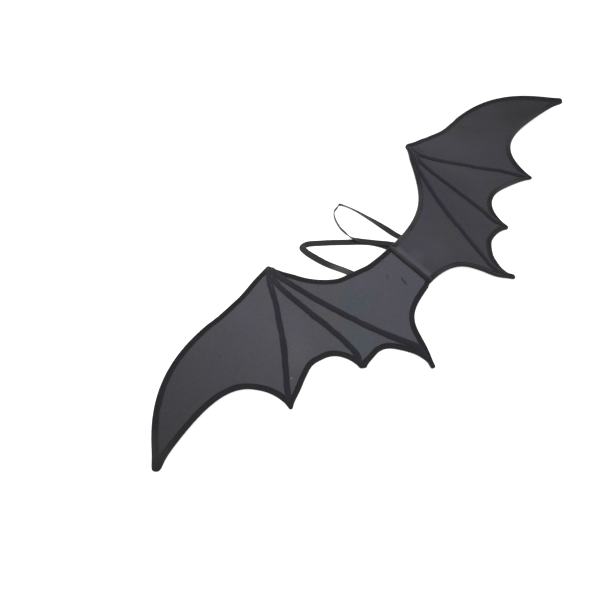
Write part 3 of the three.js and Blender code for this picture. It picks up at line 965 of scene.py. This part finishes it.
def thread_body(spine, up, radius):
    """Points and faces of one short rounded thread along its spine. up points away from the cloth."""
    aside = unit(np.cross(spine[-1] - spine[0], up))
    share = np.array(THREAD_SHARES)[:, None, None]
    angle = np.linspace(0, 2 * math.pi, THREAD_SIDES, endpoint=False)[None, :, None]
    thin = radius * np.sqrt(np.maximum(0.06, 1 - share ** 2))
    sink = radius * (0.5 - 1.1 * share ** 2)
    ring = aside * np.cos(angle) + up * np.sin(angle)
    return swept(spine[:, None, :] + ring * thin + up * sink)


def thread_piece(name, bodies, material):
    points, faces, count = [], [], 0
    for more_points, more_faces in bodies:
        faces += [[k + count for k in face] for face in more_faces]
        points.append(more_points)
        count += len(more_points)
    points = np.concatenate(points)
    return make_piece(name, points, outward(points, faces), material)


def stitch_bodies(line, way):
    """Short stitches that follow a line of points, one a pitch."""
    runs, up = run_lengths(line), np.array([0, 0, way], float)
    bodies = []
    for start in np.arange(STITCH_PITCH / 2, runs[-1] - STITCH_PITCH, STITCH_PITCH):
        where = start + np.linspace(0, STITCH_LENGTH, len(THREAD_SHARES))
        bodies.append(thread_body(sampled(line, runs, where), up, THREAD_RADIUS))
    return bodies


def loose_threads_and_flecks(name, rows, material):
    """Bits of thread, lint, and pale flecks painted as glints, that lie on the left wing, each a little bent.
    """
    rng = np.random.default_rng(SEEDS[name])
    bodies = []
    for start, end, radius, height in rows:
        start, end = np.array(start, float), np.array(end, float)
        share = np.linspace(0, 1, len(THREAD_SHARES))[:, None]
        aside = np.array([end[1] - start[1], start[0] - end[0]]) * rng.uniform(-0.05, 0.05)
        flat = (start + (end - start) * share + aside * np.sin(math.pi * share)) * [-1, 1]
        rise = cloth_rise(flat, -1, SEEDS["left"])
        spine = lifted(flat, -1, CLOTH_TOP + rise + height)
        bodies.append(thread_body(spine, np.array([0, 0, 1.0]), radius))
    return thread_piece(name, bodies, material)


def fibre_piece(name, side, seed, material):
    """Stray fibres of the felt that stand off the outer fold of the tape, each a thin closed spike."""
    rng = np.random.default_rng(seed)
    outer, inner = EDGES[side]
    runs = EDGE_ALONG[side]
    where = np.sort(rng.uniform(3, runs[-1] - 3, FIBRES))
    at = lambda line: sampled(line, runs, where)
    away, along = unit(at(outer) - at(inner)), at(tangents(outer))
    swing, rise = rng.uniform(-1.2, 1.2, (2, FIBRES))
    plan = away * np.cos(swing)[:, None] + along * np.sin(swing)[:, None]
    heading = unit(np.stack([side * plan[:, 0], plan[:, 1], 0.8 * np.sin(rise)], 1))
    middle = BINDING_HEIGHT / 2
    roots = lifted(at(outer) - 0.5 * away, side, middle * (1 + 0.55 * np.sin(rise)))
    tips = roots + heading * rng.uniform(*FIBRE_LENGTHS, FIBRES)[:, None]
    across = unit(np.cross(heading, [0, 0, 1.0]))
    over = np.cross(across, heading)
    points, faces = [], []
    for root, tip, a, b in zip(roots, tips, across * FIBRE_RADIUS, over * FIBRE_RADIUS):
        base = len(points)
        points += [root + a, root - 0.5 * a + 0.87 * b, root - 0.5 * a - 0.87 * b, tip]
        faces += [[base + 2, base + 1, base], [base, base + 1, base + 3]]
        faces += [[base + 1, base + 2, base + 3], [base + 2, base, base + 3]]
    points = np.array(points)
    return make_piece(name, points, outward(points, faces), material)


def binding_stitch_lines(side):
    mid = BINDING_HEIGHT / 2
    flat = edge_points(side, STITCH_INSET * BINDING_WIDTH)[3:-3]
    return [(lifted(flat, side, mid + way * STITCH_HEIGHT * mid), way) for way in (1, -1)]


# Materials

def add_node(material, kind):
    return material.node_tree.nodes.new("ShaderNode" + kind)


def feed(node, values):
    """Links or sets a node's sockets, each given by its name or number with a socket or a plain value."""
    for key, value in values.items():
        if isinstance(value, bpy.types.NodeSocket):
            node.id_data.links.new(value, node.inputs[key])
        else:
            node.inputs[key].default_value = value


def new_material(name):
    material = bpy.data.materials.new(name)
    material.use_nodes = True
    material.node_tree.nodes.clear()
    output, shader = add_node(material, "OutputMaterial"), add_node(material, "BsdfPrincipled")
    feed(output, {"Surface": shader.outputs["BSDF"]})
    return material, shader


def add_noise(material, coordinates, scale, detail, roughness=0.5):
    noise = add_node(material, "TexNoise")
    feed(noise, {"Vector": coordinates, "Scale": scale, "Detail": detail, "Roughness": roughness})
    return noise.outputs["Fac"]


def add_mix(material, share, a, b):
    """Mixes two colours. Each is a socket or a value, and so is the share."""
    mix = add_node(material, "Mix")
    mix.data_type = "RGBA"
    feed(mix, {0: share, 6: a, 7: b})
    return mix.outputs[2]


def add_range(material, value, low, high, to_low, to_high):
    node = add_node(material, "MapRange")
    values = {"Value": value, "From Min": low, "From Max": high, "To Min": to_low, "To Max": to_high}
    feed(node, values)
    return node.outputs["Result"]


def add_math(material, operation, a, b):
    node = add_node(material, "Math")
    node.operation = operation
    feed(node, {0: a, 1: b})
    return node.outputs[0]


def add_spot(material, where, spot):
    """How much of a spot's colour shows: its share at its place, and none beyond its reach."""
    x, y = spot["at"]
    middle = (x * MM, (y + SEAM_TOP_UP) * MM, float(relief(x, y) + CLOTH_TOP) * MM)
    distance = add_node(material, "VectorMath")
    distance.operation = "DISTANCE"
    feed(distance, {0: where, 1: middle})
    reach = spot["reach"] * MM
    falloff = add_range(material, distance.outputs["Value"], 0.2 * reach, reach, spot["share"], 0)
    falloff.node.interpolation_type = "SMOOTHSTEP"
    return falloff


def add_band(material, where, band):
    """How much of a band's colour shows: none before its start along the axis, all of it past its end."""
    split = add_node(material, "SeparateXYZ")
    feed(split, {0: where})
    shift = SEAM_TOP_UP if band["axis"] == "Y" else 0
    low, high = (band["from"] + shift) * MM, (band["to"] + shift) * MM
    return add_range(material, split.outputs[band["axis"]], low, high, 0, 1)


def add_tones(material, where, name, colour):
    """The colour with the spots and bands that are listed for a name."""
    for spot in SPOTS.get(name, []):
        colour = add_mix(material, add_spot(material, where, spot), colour, screen(spot["colour"]))
    for band in BANDS.get(name, []):
        colour = add_mix(material, add_band(material, where, band), colour, screen(band["colour"]))
    return colour


def object_coordinates(material):
    return add_node(material, "TexCoord").outputs["Object"]


def weave_coordinates(material):
    node = add_node(material, "UVMap")
    node.uv_map = "weave"
    return node.outputs["UV"]


def add_wave(material, coordinates, direction, pitch):
    """Ridges across a direction, a pitch in metres apart."""
    wave = add_node(material, "TexWave")
    wave.bands_direction = direction
    feed(wave, {"Vector": coordinates, "Scale": 2 * math.pi / (20 * pitch)})
    return wave.outputs["Fac"]


def add_bump(material, shader, height, distance):
    node = add_node(material, "Bump")
    feed(node, {"Height": height, "Distance": distance})
    feed(shader, {"Normal": node.outputs["Normal"]})


def screen(colour):
    """A shader's colour from red, green and blue as they show on the screen, from 0 to 255."""
    channels = [c / 255 for c in colour]
    return tuple(c / 12.92 if c <= 0.04045 else ((c + 0.055) / 1.055) ** 2.4 for c in channels) + (1,)


def tinted(material, where, felt_look):
    """The main colour of a felt, with soft patches of its three tints."""
    first, second, third = [screen(tint) for tint in felt_look["tints"]]
    patches = felt_look["nap"]["patches"]
    share = add_range(material, add_noise(material, where, patches, 1), 0.4, 0.6, 0, 1)
    colour = add_mix(material, share, first, second)
    share = add_range(material, add_noise(material, where, 1.6 * patches, 1), 0.5, 0.66, 0, 1)
    colour = add_mix(material, share, colour, third)
    return add_mix(material, 0.7, screen(felt_look["base"]), colour)


def felt(name):
    """Matte brushed cloth: patches of tint, a mottled nap and short fibres."""
    material, shader = new_material(name)
    where = object_coordinates(material)
    colour = add_tones(material, where, name, tinted(material, where, FELTS[name]))
    nap = add_noise(material, where, 420, 3, 0.6)
    darker = add_range(material, nap, 0.4, 0.75, 0, 0.16)
    fibres = add_noise(material, where, 1900, 2, 0.7)
    height = add_math(material, "ADD", fibres, add_math(material, "MULTIPLY", nap, 1.5))
    add_bump(material, shader, height, FELTS[name]["nap"]["fuzz"])
    feed(shader, {
        "Base Color": add_mix(material, darker, colour, BLACK),
        "Roughness": add_range(material, nap, 0.3, 0.7, 0.86, 0.98),
        "Sheen Weight": FELTS[name]["nap"]["sheen"],
        "Sheen Roughness": 0.5,
        "Specular IOR Level": 0.2,
    })
    return material


def elastic(name, base):
    """Woven elastic band: fine ribs across it and cords along it."""
    material, shader = new_material(name)
    weave = weave_coordinates(material)
    across = add_wave(material, weave, "Y", 0.0008)
    cords = add_wave(material, weave, "X", 0.0012)
    lines = add_math(material, "MULTIPLY", across, add_range(material, cords, 0, 1, 0.5, 1))
    colour = add_tones(material, object_coordinates(material), name, screen(base))
    gaps = add_range(material, lines, 0, 1, 0.4, 0)
    feed(shader, {
        "Base Color": add_mix(material, gaps, colour, BLACK),
        "Roughness": 0.75,
        "Sheen Weight": 0.15,
        "Specular IOR Level": 0.3,
    })
    add_bump(material, shader, lines, 0.0002)
    return material


def thread(name, base):
    """Twisted thread, darker between its strands."""
    material, shader = new_material(name)
    twist = add_noise(material, object_coordinates(material), 2500, 1)
    darker = tuple(c * 0.7 for c in screen(base)[:3]) + (1,)
    feed(shader, {"Base Color": add_mix(material, twist, darker, screen(base)), "Roughness": 0.6})
    add_bump(material, shader, twist, 0.0001)
    return material


def floor_material():
    material, shader = new_material("floor")
    feed(shader, {
        "Base Color": (0.92, 0.92, 0.92, 1),
        "Roughness": 1.0,
        "Specular IOR Level": 0.0,
        "Emission Color": (1, 1, 1, 1),
        "Emission Strength": 0.75,
    })
    return material


# Scene

def place_piece(piece, node):
    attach(piece, "root")
    if node is not None:
        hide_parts(node)
    return piece


def build_wing(hand, rib_felt, sewing, stray):
    side, seed = SIDES[hand], SEEDS[hand]
    cloth, size, area = wing_cloth(f"cloth_{hand}", side, seed, felt(f"cloth_{hand}"))
    place_piece(cloth, f"wing_cloth_{hand}")
    binding = sweep_piece(f"binding_{hand}", binding_rings(side, seed + 10), felt(f"tape_{hand}"))
    trim = [place_piece(binding, f"edge_binding_{hand}")]
    for index, name in enumerate(n for n in RIBS if n.endswith(hand)):
        rib = sweep_piece(name.replace("rib", "tape"), rib_rings(name, side, seed + 20 + 7 * index), rib_felt)
        trim.append(place_piece(rib, name))
    stitches = [body for line, way in binding_stitch_lines(side) for body in stitch_bodies(line, way)]
    sewn = thread_piece(f"stitches_{hand}", stitches, sewing)
    fibres = fibre_piece(f"fibres_{hand}", side, seed + 60, stray)
    for piece in (sewn, fibres):
        trim.append(place_piece(piece, None))


def build_wings():
    rib_felt = felt("rib_tape")
    sewing = thread("sewing_thread", (34, 34, 36))
    stray = thread("stray_fibres", (56, 56, 59))
    for hand in SIDES:
        build_wing(hand, rib_felt, sewing, stray)
    dark = loose_threads_and_flecks("dark_threads", DARK_THREADS, thread("dark_thread", (52, 50, 58)))
    # painted highlight: the pale flecks by the left shoulder stand for glints
    light = loose_threads_and_flecks("lint_and_glints", LINT_AND_GLINTS, thread("lint_and_glints", (150, 150, 153)))
    for piece in (dark, light):
        place_piece(piece, None)
    place_piece(sweep_piece("seam_tape", seam_rings(), felt("seam_tape")), "seam_band")
    band = elastic("strap_elastic", (52, 54, 55))
    for name in STRAPS:
        strap = sweep_piece(name.replace("strap", "elastic"), strap_rings(name), band)
        place_piece(strap, name)


def build_floor():
    half, below = 3.0, -0.0004
    corners = [(-half, -half, below), (half, -half, below), (half, half, below), (-half, half, below)]
    mesh = bpy.data.meshes.new("floor")
    mesh.from_pydata(corners, [], [(0, 1, 2, 3)])
    mesh.materials.append(floor_material())
    floor = add_object("floor", mesh)


def add_light(name, at, aim, size, power):
    data = bpy.data.lights.new(name, "AREA")
    data.shape = "DISK"
    data.size = size
    data.energy = power
    light = add_object(name, data)
    light.location = at
    light.rotation_mode = "QUATERNION"
    light.rotation_quaternion = (Vector(aim) - Vector(at)).to_track_quat("-Z", "Y")


def build_light():
    world = bpy.data.worlds.new("studio")
    world.use_nodes = True
    feed(world.node_tree.nodes["Background"], {"Color": (1, 1, 1, 1), "Strength": 0.35})
    bpy.context.scene.world = world
    add_light("softbox", at=(-0.12, 0.12, 0.6), aim=(-0.05, 0, 0), size=0.5, power=2.6)


def build_camera():
    """The photograph's camera: its place in metres, and its right, up and backward directions."""
    at = (-0.2442, -0.0634, 0.4037)
    right = (0.734, -0.6788, -0.0225)
    up = (0.641, 0.6814, 0.3534)
    back = (-0.2246, -0.2738, 0.9352)
    data = bpy.data.cameras.new("camera")
    data.sensor_width = 36
    data.lens = 18.82
    data.clip_start = 0.01
    camera = add_object("camera", data)
    axes = Matrix((right, up, back)).transposed()
    camera.matrix_world = Matrix.Translation(at) @ axes.to_4x4()
    bpy.context.scene.camera = camera


build_camera()
build_wings()
build_floor()
build_light()
bpy.context.scene.view_settings.view_transform = "Standard"
